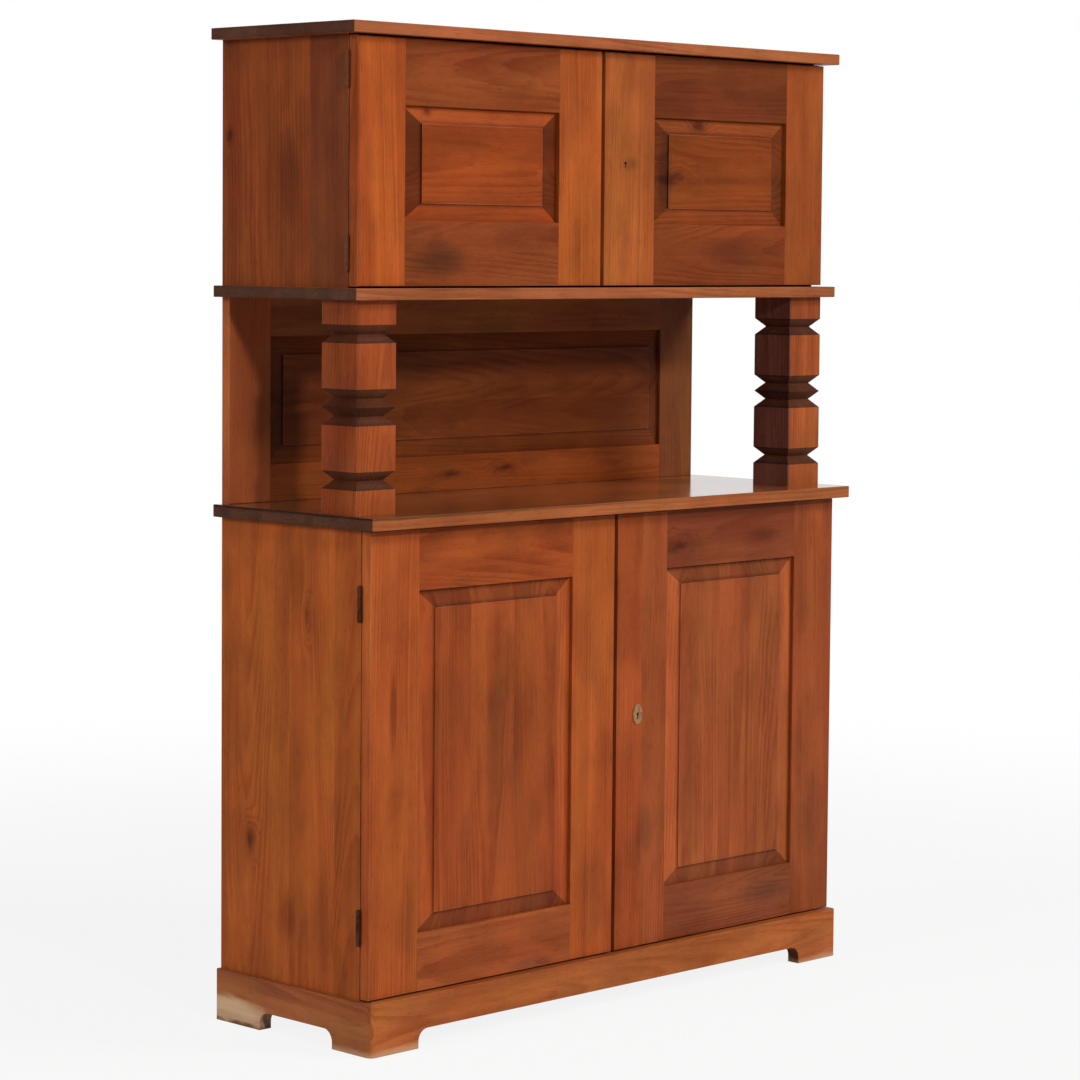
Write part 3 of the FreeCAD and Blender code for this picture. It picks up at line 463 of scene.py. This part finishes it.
SIDE_ARRIS = 0.0010
SIDE_RISE = 0.2
carcass_sides = {
    "lower_side_left": {
        "tint": (0.367, 0.083, 0.015), "glued": (0.18, 0.50), "stain_and_shade": on_side(0.029, 0.212, 0.026, 0.040),
        "knots": [on_side(0.129, 0.334, 0.010, 0.020), on_side(-0.021, 0.732, 0.006, 0.022)]},
    "lower_side_right": {
        "tint": (0.32, 0.080, 0.023), "glued": (0.30, 0.66), "stain_and_shade": on_side(-0.09, 0.28, 0.022, 0.05),
        "knots": [on_side(0.06, 0.61, 0.011, 0.018)]},
    "upper_side_left": {
        "tint": (0.223, 0.046, 0.011), "glued": (0.297,), "tones": ((0.67, 0.73, 0.96), (1, 1, 1)),
        "stain_and_shade": on_side(0.027, 1.486, 0.040, 0.090), "knots": [on_side(0.187, 1.565, 0.007, 0.012)]},
    "upper_side_right": {
        "tint": (0.29, 0.070, 0.022), "glued": (0.45,), "stain_and_shade": on_side(-0.06, 1.58, 0.02, 0.06),
        "knots": [on_side(0.09, 1.47, 0.009, 0.014)]},
}
for node, looks in carcass_sides.items():
    shape = joiners_copy(node)
    soften(shape, SIDE_ARRIS, lambda edge: rises(edge, SIDE_RISE))
    wooden(node, shape, "cabinet", "lacquered_pine", along="z", shut="-z+z", stain_and_shade_tone=(0.72, 0.64, 0.64),
           **looks)

plain_boards("lower_bottom", (0.54, 0.27, 0.12), "x")
plain_boards("lower_shelf", (0.57, 0.29, 0.13), "x")
plain_boards("lower_top_rails", (0.52, 0.25, 0.11), "x")
plain_boards("lower_back_boards", (0.53, 0.25, 0.11), "z")
plain_boards("upper_back_boards", (0.55, 0.27, 0.12), "z")


# Doors. Each is a frame of two stiles and two rails tenoned into them, round a raised and fielded panel
# that lies loose in grooves. The stiles were cut from paler, straight-grown wood than the rails, and the
# panels' sloped borders were planed by hand.

def on_face(x, z, wide, high):
    """A mark on a front face."""
    return Vector((x, 0, z)), (wide, BOTH_WAYS, high)


def stain_and_shade_patch(x, z, wide, high, tone=STAIN_TONE):
    """A stain on a front face, in the words that wooden takes; on the niche's panel it is a painted shadow
    instead.
    """
    return {"stain_and_shade": on_face(x, z, wide, high), "stain_and_shade_tone": tone}


STILE_CORNERS = 0.05  # edges longer than this are a stile's own, not a tenon's
RAIL_CORNERS = 0.2
FRAME_ARRIS = 0.0013
SEAM_ARRIS = 0.0004
FIELD_ARRIS = 0.0007


def frame_member(node, body, grain, joint, shut, shortest, tint, marks):
    """A stile or rail: softened along its outer corners, and hardly where it meets the panel's groove."""
    shape = joiners_copy(node)
    low, high = extent(shape)
    side = "xyz".index(joint[1])
    seam = (low if joint[0] == "-" else high)[side]

    def level(edge, k, reach):
        return edge.calc_length() > shortest and all(abs(vert.co[k] - reach) < NEAR for vert in edge.verts)

    soften(shape, FRAME_ARRIS, lambda edge: not level(edge, side, seam)
           and (level(edge, 1, low.y) or level(edge, 1, high.y)))
    soften(shape, SEAM_ARRIS, lambda edge: level(edge, side, seam))
    wooden(node, shape, body, "lacquered_pine", tint, grain, shut, **marks)


def framed(door, body, stiles, rails, panel):
    """A frame and its panel; a member is its name, the side that meets the panel, its tint and marks."""
    for member, joint, tint, marks in stiles:
        frame_member(f"{door}_{member}", body, "z", joint, joint, STILE_CORNERS, tint,
                     {"lies": "quarter", **marks})
    for member, joint, tint, marks in rails:
        frame_member(f"{door}_{member}", body, "x", joint, "-x+x" + joint, RAIL_CORNERS, tint, marks)
    tint, along, marks = panel
    shape = joiners_copy(f"{door}_panel")
    front, back = (corner.y for corner in extent(shape))
    field = [vert.co.copy() for vert in shape.verts if abs(vert.co.y - front) < NEAR]
    corners = [Vector([pick(place[k] for place in field) for k in range(3)]) for pick in (min, max)]
    corners[1].y = back
    soften(shape, FIELD_ARRIS, lambda edge: all(abs(vert.co.y - front) < NEAR for vert in edge.verts))
    wooden(f"{door}_panel", shape, body, "panel_pine", tint, along, edges=corners, **marks)


framed("lower_left", "lower_left_door",
       [("hinge_stile", "+x", (0.391, 0.086, 0.019), stain_and_shade_patch(-0.550, 0.60, 0.010, 0.09)),
        ("meeting_stile", "-x", (0.359, 0.076, 0.016), {})],
       [("top_rail", "-z", (0.272, 0.051, 0.011), {}),
        ("bottom_rail", "+z", (0.335, 0.074, 0.021),
         stain_and_shade_patch(-0.215, 0.104, 0.060, 0.012, (0.70, 0.72, 1.00)))],
       ((0.307, 0.063, 0.015), "z",
        {"glued": (0.34, 0.61), "border": (1.28, 1.0),
         **stain_and_shade_patch(-0.292, 0.52, 0.040, 0.24, (0.74, 0.78, 0.88))}))
framed("lower_right", "lower_right_door",
       [("lock_stile", "+x", (0.306, 0.064, 0.017),
         {"glued": (0.5,), "tones": ((1.13, 1.08, 1.0), (0.94, 0.97, 1.02)),
          **stain_and_shade_patch(0.080, 0.310, 0.024, 0.055, (0.66, 0.74, 0.86))}),
        ("hinge_stile", "-x", (0.276, 0.058, 0.016),
         stain_and_shade_patch(0.555, 0.275, 0.05, 0.09, (0.74, 0.80, 0.92)))],
       [("top_rail", "-z", (0.202, 0.044, 0.015),
         {"knots": [on_face(0.162, 0.827, 0.028, 0.014)], **stain_and_shade_patch(0.40, 0.835, 0.07, 0.025)}),
        ("bottom_rail", "+z", (0.237, 0.057, 0.019),
         stain_and_shade_patch(0.424, 0.150, 0.080, 0.035, (0.72, 0.78, 1.05)))],
       ((0.307, 0.070, 0.020), "z", {"glued": (0.42, 0.72), "border": (1.22, 1.0)}))


# Counter. One thick top glued from three boards lies on the lower cabinet and runs past its front and
# sides; the dark ends show how the end grain drank the lacquer. Its upper face is worn to a gloss and
# darker towards the left.

COUNTER_ARRIS = 0.0018
UPWARD = 0.9  # share of a normal that points up
counter = wooden("counter_board", sawn(*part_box("counter_board"), COUNTER_ARRIS), "cabinet", "lacquered_pine",
                 (0.358, 0.101, 0.033), "x", glued=(0.36, 0.68),
                 **stain_and_shade_patch(-0.55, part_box("counter_board")[1].z, 0.75, 0.005, (0.325, 0.40, 0.43)))
counter.data.materials.append(polished)
for face in counter.data.polygons:
    face.material_index = int(face.normal.z > UPWARD)


# Niche. A framed back of the same work as the doors closes the niche to the rear; its long panel lies
# with the grain across.

framed("niche", "cabinet",
       [("stile_left", "+x", (0.342, 0.080, 0.026), {}),
        ("stile_right", "-x", (0.169, 0.046, 0.013), {})],
       [("rail_top", "-z", (0.250, 0.067, 0.018), {}),
        ("rail_bottom", "+z", (0.271, 0.058, 0.012),
         {"lies": "heart",
          "knots": [on_face(0.08, 0.956, 0.020, 0.006), on_face(-0.06, 0.950, 0.024, 0.006)]})],
       # The darker patch on the panel's left part is the left post's shadow, painted.
       ((0.200, 0.045, 0.010), "x",
        {"glued": (0.45,), **stain_and_shade_patch(-0.45, 1.10, 0.13, 0.16, (0.74, 0.72, 0.78))}))


# Posts. Two square posts carry the front corners of the upper cabinet. Each is worked all round with
# sawn notches that leave sharp collars between plain blocks. Their left faces are painted darker as shade, the
# right post's, under the middle board, far more.

POST_ARRIS = 0.0014
POST_RISE = 0.004  # more than the softened tips of the collars
SHADED_FACE_DEPTH = 0.004
# The left face's tone is painted shade: slight on the left post, deep on the right one.
for node, tint, left_face_shade in (("post_left", (0.295, 0.058, 0.014), (0.88, 0.88, 0.90)),
                              ("post_right", (0.315, 0.071, 0.018), (0.46, 0.66, 1.80))):
    shape = joiners_copy(node)
    stain_and_shade = (extent(shape)[0], (SHADED_FACE_DEPTH, BOTH_WAYS, BOTH_WAYS))
    soften(shape, POST_ARRIS, lambda edge: rises(edge, POST_RISE))
    wooden(node, shape, "cabinet", "lacquered_pine", tint, "z", "-z+z", stain_and_shade=stain_and_shade, stain_and_shade_tone=left_face_shade)


# Middle and top boards. Plain boards, glued from two and from three, that close the niche above and the
# upper cabinet; the top board overhangs most.

BOARD_ARRIS = 0.0016
wooden("middle_board", sawn(*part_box("middle_board"), BOARD_ARRIS), "cabinet", "lacquered_pine",
       (0.336, 0.102, 0.036), "x", glued=(0.5,))
wooden("top_board", sawn(*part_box("top_board"), BOARD_ARRIS), "cabinet", "lacquered_pine",
       (0.335, 0.092, 0.032), "x", glued=(0.34, 0.67))


# Upper doors. As the lower ones, but their panels lie with the grain across. The left one's outer edge
# face is coloured darker.

framed("upper_left", "upper_left_door",
       [("hinge_stile", "+x", (0.398, 0.078, 0.015),
         stain_and_shade_patch(-0.6025, 1.5, 0.005, BOTH_WAYS, (0.70, 0.71, 0.78))),
        ("meeting_stile", "-x", (0.375, 0.084, 0.016), {})],
       [("top_rail", "-z", (0.252, 0.054, 0.013), {}),
        ("bottom_rail", "+z", (0.221, 0.046, 0.012),
         stain_and_shade_patch(-0.410, 1.348, 0.075, 0.038, (0.56, 0.64, 0.76)))],
       ((0.282, 0.049, 0.009), "x",
        {"knots": [on_face(-0.4385, 1.6045, 0.008, 0.006)], "border": (1.16, 0.62)}))
framed("upper_right", "upper_right_door",
       [("lock_stile", "+x", (0.374, 0.095, 0.022),
         stain_and_shade_patch(0.064, 1.526, 0.028, 0.017, (0.72, 0.76, 0.80))),
        ("hinge_stile", "-x", (0.293, 0.065, 0.014), {})],
       [("top_rail", "-z", (0.144, 0.029, 0.007), {}),
        ("bottom_rail", "+z", (0.218, 0.046, 0.011),
         stain_and_shade_patch(0.340, 1.372, 0.120, 0.030, (0.80, 0.80, 0.92)))],
       ((0.240, 0.050, 0.009), "x",
        {"knots": [on_face(0.172, 1.502, 0.036, 0.013), on_face(0.2535, 1.601, 0.016, 0.010)],
         "border": (1.10, 0.85), **stain_and_shade_patch(0.158, 1.510, 0.016, 0.075, (0.62, 0.60, 0.74))}))


# Ironwork. Butt hinges let into the seams behind the doors' outer edges, with iron leaves and pins that
# have gone brown, those of the upper doors painted over, steel screws, and locks of plain steel inside
# the right-hand doors.

IRON_SHARE = 0.85
PAINTED_ABOVE = 1.0  # metres over the floor


def metal(name, colour, dark, roughness, grime, painted=None):
    """A worn metal with dark patches and fine scratches, and with paint, if any, on what hangs high."""
    material = bpy.data.materials.new(name)
    material.use_nodes = True
    tree = material.node_tree
    shader = tree.nodes["Principled BSDF"]
    shader.inputs["Metallic"].default_value = IRON_SHARE
    shader.inputs["Specular IOR Level"].default_value = 0.2
    place = add(tree, "TexCoord", {}, "Object")
    patch = cloud(tree, place, (90.0, 90.0, 90.0), 4.0)
    scratch = cloud(tree, place, (400.0, 400.0, 2400.0))
    tone = laid(tree, colour, fade(tree, patch, 0.42, 0.66, 0.0, grime), dark, "MIX")
    tone = laid(tree, tone, fade(tree, scratch, 0.50, 0.75, 0.0, 0.4), (0.70, 0.70, 0.70))
    if painted:
        paint = fade(tree, parts(tree, place)[2], PAINTED_ABOVE, PAINTED_ABOVE + 0.1, 0.0, 0.9)
        tone = laid(tree, tone, paint, painted, "MIX")
        tree.links.new(number(tree, "SUBTRACT", IRON_SHARE, paint), shader.inputs["Metallic"])
    tree.links.new(tone, shader.inputs["Base Color"])
    rough = fade(tree, patch, 0.3, 0.7, roughness - 0.08, roughness + 0.16)
    tree.links.new(rough, shader.inputs["Roughness"])
    bump = add(tree, "Bump", {"Height": scratch, "Strength": 0.25, "Distance": 0.0002})
    tree.links.new(bump, shader.inputs["Normal"])
    return material


iron = metal("hinge_iron", (0.080, 0.030, 0.014), (0.045, 0.014, 0.006), 0.62, 0.8, (0.112, 0.028, 0.010))
screw = metal("screw_steel", (0.30, 0.27, 0.24), (0.10, 0.07, 0.05), 0.42, 0.7)
steel = metal("lock_steel", (0.34, 0.32, 0.29), (0.12, 0.09, 0.07), 0.40, 0.6)
brass = metal("plate_brass", (0.43, 0.225, 0.100), (0.17, 0.095, 0.050), 0.42, 0.8)
metals = {"leaves": iron, "pins": iron, "screws": screw, "lock_case": steel, "lock_bolt": steel,
          "keyhole_plate": brass}
for node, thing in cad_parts.items():
    for word, finish in metals.items():
        if word in node:
            thing.data.materials.clear()
            thing.data.materials.append(finish)


# Studio. A plain pale floor and three lamps: a small one in front and a little to the left that reaches
# under the middle board, a broad one from the right, and a soft one on the left side. The floor and the
# air show white to the camera and in reflections, and the floor keeps a faint shadow.

def lamp(name, place, aim, wide, high, watts):
    light = bpy.data.lights.new(name, "AREA")
    light.shape = "RECTANGLE"
    light.size, light.size_y, light.energy = wide, high, watts
    holder = bpy.data.objects.new(name, light)
    holder.location = place
    holder.rotation_euler = (Vector(aim) - Vector(place)).to_track_quat("-Z", "Y").to_euler()
    bpy.context.scene.collection.objects.link(holder)


lamp("front_lamp", (-2.38, -7.55, 4.35), (0.0, -0.1, 1.0), 0.7, 0.7, 320)
lamp("right_lamp", (4.26, -5.97, 6.61), (0.0, -0.1, 0.95), 3.0, 2.6, 560)
lamp("left_lamp", (-7.5, 0.8, 3.6), (-0.6, 0.0, 1.0), 2.4, 2.4, 280)


def greatest(tree, first, *others):
    for other in others:
        first = number(tree, "MAXIMUM", first, other)
    return first


FLOOR_REACH = 40.0  # metres
grid = bmesh.new()
bmesh.ops.create_grid(grid, x_segments=1, y_segments=1, size=FLOOR_REACH)
floor_mesh = bpy.data.meshes.new("floor")
grid.to_mesh(floor_mesh)
grid.free()
floor = bpy.data.objects.new("floor", floor_mesh)
bpy.context.scene.collection.objects.link(floor)

paper = bpy.data.materials.new("white_paper")
paper.use_nodes = True
floor_mesh.materials.append(paper)
paper_tree = paper.node_tree
matt = paper_tree.nodes["Principled BSDF"]
matt.inputs["Base Color"].default_value = (0.55, 0.54, 0.53, 1)
matt.inputs["Roughness"].default_value = 0.9
rays = add(paper_tree, "LightPath", {}).node.outputs
seen = greatest(paper_tree, rays["Is Camera Ray"], rays["Is Glossy Ray"], rays["Is Transmission Ray"])
glow = add(paper_tree, "Emission", {"Color": (1, 1, 1, 1), "Strength": 1.0})
from_middle = vector(paper_tree, "LENGTH", add(paper_tree, "TexCoord", {}, "Object"))
glowing = product(paper_tree, seen, fade(paper_tree, from_middle, 1.2, 4.0, 0.87, 1.0))
surface = add(paper_tree, "MixShader", {0: glowing, 1: matt.outputs[0], 2: glow})
paper_tree.links.new(surface, paper_tree.nodes["Material Output"].inputs["Surface"])

# Reflections show a white sheet behind the piece, low down, and dark air elsewhere.
world = bpy.data.worlds.new("studio")
world.use_nodes = True
bpy.context.scene.world = world
air = world.node_tree
background = air.nodes["Background"]
background.inputs["Color"].default_value = (1, 1, 1, 1)
rays = add(air, "LightPath", {}).node.outputs
towards = add(air, "TexCoord", {}, "Generated")
behind = fade(air, vector(air, "DOT_PRODUCT", towards, (0.71, 0.70, 0.0)), 0.15, 0.75, 0.10, 1.0)
low_down = fade(air, parts(air, towards)[2], 0.15, 0.45, 1.0, 0.2)
mirrored = product(air, rays["Is Glossy Ray"], product(air, behind, low_down))
strength = greatest(air, mirrored, rays["Is Camera Ray"], rays["Is Transmission Ray"], 0.15)
air.links.new(strength, background.inputs["Strength"])


# Camera. It stands at eye height in front and to the left, as the photograph was taken.

PIXELS = 1080
FOCAL_PIXELS = 3341.3
CENTRE_PIXELS = (551.73, 471.85)
SENSOR_MM = 36.0
STAND = (-4.3683, -4.3327, 1.3741)

camera = bpy.data.cameras.new("camera")
camera.sensor_width = SENSOR_MM
camera.lens = SENSOR_MM * FOCAL_PIXELS / PIXELS
camera.shift_x = (PIXELS / 2 - CENTRE_PIXELS[0]) / PIXELS
camera.shift_y = (CENTRE_PIXELS[1] - PIXELS / 2) / PIXELS
camera.clip_start, camera.clip_end = 0.1, 100.0
turn, dip, roll = math.radians(45.323), math.radians(-3.84), math.radians(0.484)
ahead = Vector((math.sin(turn) * math.cos(dip), math.cos(turn) * math.cos(dip), math.sin(dip)))
level_right = Vector((math.cos(turn), -math.sin(turn), 0.0))
level_up = level_right.cross(ahead)
right = math.cos(roll) * level_right + math.sin(roll) * level_up
up = -math.sin(roll) * level_right + math.cos(roll) * level_up
stand = bpy.data.objects.new("camera", camera)
stand.matrix_world = Matrix.Translation(STAND) @ Matrix((right, up, -ahead)).transposed().to_4x4()
bpy.context.scene.collection.objects.link(stand)
bpy.context.scene.camera = stand
bpy.context.scene.view_settings.view_transform = "Standard"
